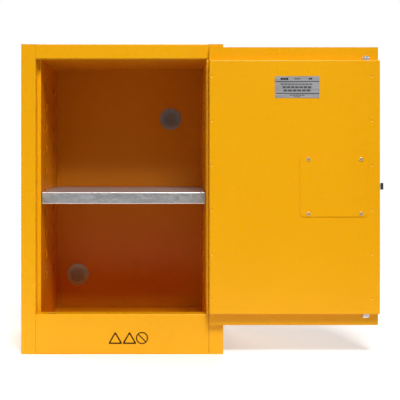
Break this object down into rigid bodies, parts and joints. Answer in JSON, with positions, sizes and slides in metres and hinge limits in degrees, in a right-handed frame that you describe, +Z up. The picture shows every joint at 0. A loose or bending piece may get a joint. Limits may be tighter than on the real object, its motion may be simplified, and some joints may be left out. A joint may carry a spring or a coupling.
{
  "type": "flammable storage cabinet",
  "caption": "Double-walled yellow steel safety cabinet with one door on a piano hinge, a three-point paddle latch, a lipped shelf and a leakproof sump.",
  "frame": {"origin": "on the floor, below the middle of the cabinet body", "axes": "+Z up; +Y from the door side to the back; +X to the right for a viewer facing the door side. The door is modelled open by 180 degrees."},
  "size_m": [1.0383, 0.5211, 0.895],
  "materials": {
    "yellow_paint": "powder coat, satin",
    "inner_paint": "powder coat, satin",
    "shelf_zinc": "galvanised",
    "zinc_plate": "zinc plated",
    "bolt_chrome": "polished",
    "screw_steel": "nickel plated",
    "spring_steel": "spring steel",
    "black_handle": "fine texture",
    "black_nylon": "moulded",
    "black_rubber": "moulded",
    "plate_silver": "printed foil",
    "mark_ink": "printed film",
    "vent_metal": "zinc plated"
  },
  "bodies": {
    "cabinet": {"outer_side_left": "yellow_paint", "outer_side_right": "yellow_paint", "outer_back": "yellow_paint", "outer_top": "yellow_paint", "front_panel": "yellow_paint", "base_pan": "yellow_paint", "inner_side_left": "inner_paint", "inner_side_right": "inner_paint", "inner_back": "inner_paint", "inner_top": "inner_paint", "sump_pan": "inner_paint", "wall_spacers": "zinc_plate", "floor_channels": "zinc_plate", "hinge_leaf_cabinet": "yellow_paint", "hinge_pin": "zinc_plate", "latch_strikes": "zinc_plate", "shelf_clips": "zinc_plate", "vent_body_lower": "vent_metal", "vent_body_upper": "vent_metal", "flame_screen_lower": "vent_metal", "flame_screen_upper": "vent_metal", "ground_stud": "zinc_plate", "ground_nut": "zinc_plate", "safety_marks": "mark_ink"},
    "shelf": {"shelf_panel": "shelf_zinc", "shelf_stiffener": "shelf_zinc"},
    "door": {"door_outer_skin": "yellow_paint", "door_inner_pan": "yellow_paint", "door_stiffeners": "zinc_plate", "hinge_leaf_door": "yellow_paint", "latch_cover": "yellow_paint", "cover_screws": "screw_steel", "nameplate": "plate_silver", "handle_dish": "black_handle", "dish_screws": "screw_steel", "latch_base_plate": "zinc_plate", "rod_guides": "zinc_plate", "paddle_pin": "screw_steel", "paddle_spring": "spring_steel", "cam_pivot": "screw_steel", "lock_barrel": "screw_steel"},
    "paddle": {"paddle": "black_handle"},
    "cam": {"latch_cam": "zinc_plate"},
    "upper_latch": {"upper_rod": "zinc_plate", "upper_bolt": "bolt_chrome"},
    "lower_latch": {"lower_rod": "zinc_plate", "lower_bolt": "bolt_chrome"},
    "side_latch": {"middle_bolt": "bolt_chrome", "middle_bolt_tip": "black_nylon"},
    "key_plug": {"key_cylinder": "screw_steel"},
    "lower_vent_seal": {"vent_gasket_lower": "black_rubber"},
    "lower_vent_cap": {"vent_cap_lower": "vent_metal"},
    "upper_vent_seal": {"vent_gasket_upper": "black_rubber"},
    "upper_vent_cap": {"vent_cap_upper": "vent_metal"}
  },
  "joints": [
    {"name": "door_swing", "type": "hinge", "parent": "cabinet", "child": "door", "pos_m": [0.2466, -0.2355, 0], "axis": [0, 0, -1], "range_deg": [0, 180]},
    {"name": "shelf_lift", "type": "slide", "parent": "cabinet", "child": "shelf", "axis": [0, 0, 1], "range_m": [0, 0.127]},
    {"name": "paddle_pull", "type": "hinge", "parent": "door", "child": "paddle", "pos_m": [0.674, -0.236, 0.532], "axis": [1, 0, 0], "range_deg": [0, 30], "stiffness_Nm_per_rad": 0.6, "springref_deg": -28.65},
    {"name": "cam_turn", "type": "hinge", "parent": "door", "child": "cam", "pos_m": [0.67575, -0.252, 0.487], "axis": [0, 1, 0], "range_deg": [0, 30]},
    {"name": "upper_bolt_slide", "type": "slide", "parent": "door", "child": "upper_latch", "axis": [0, 0, -1], "range_m": [0, 0.01139]},
    {"name": "lower_bolt_slide", "type": "slide", "parent": "door", "child": "lower_latch", "axis": [0, 0, 1], "range_m": [0, 0.01139]},
    {"name": "side_bolt_slide", "type": "slide", "parent": "door", "child": "side_latch", "axis": [-1, 0, 0], "range_m": [0, 0.01139]},
    {"name": "key_turn", "type": "hinge", "parent": "door", "child": "key_plug", "pos_m": [0.674, -0.2315, 0.425], "axis": [0, -1, 0], "range_deg": [0, 90]},
    {"name": "lower_vent_travel", "type": "slide", "parent": "cabinet", "child": "lower_vent_seal", "axis": [0, 1, 0], "range_m": [0, 0.0066]},
    {"name": "lower_vent_turn", "type": "hinge", "parent": "lower_vent_seal", "child": "lower_vent_cap", "pos_m": [-0.17, 0.2285, 0.17], "axis": [0, 1, 0], "range_deg": [0, 1080]},
    {"name": "upper_vent_travel", "type": "slide", "parent": "cabinet", "child": "upper_vent_seal", "axis": [0, 1, 0], "range_m": [0, 0.0066]},
    {"name": "upper_vent_turn", "type": "hinge", "parent": "upper_vent_seal", "child": "upper_vent_cap", "pos_m": [0.14, 0.2285, 0.69], "axis": [0, 1, 0], "range_deg": [0, 1080]}
  ],
  "couplings": [
    {"joint": "cam_turn", "follows": "paddle_pull", "ratio": 1},
    {"joint": "upper_bolt_slide", "follows": "paddle_pull", "m_per_rad": 0.021747},
    {"joint": "lower_bolt_slide", "follows": "paddle_pull", "m_per_rad": 0.021747},
    {"joint": "side_bolt_slide", "follows": "paddle_pull", "m_per_rad": 0.021747},
    {"joint": "lower_vent_travel", "follows": "lower_vent_turn", "m_per_rad": 0.00035014},
    {"joint": "upper_vent_travel", "follows": "upper_vent_turn", "m_per_rad": 0.00035014}
  ]
}
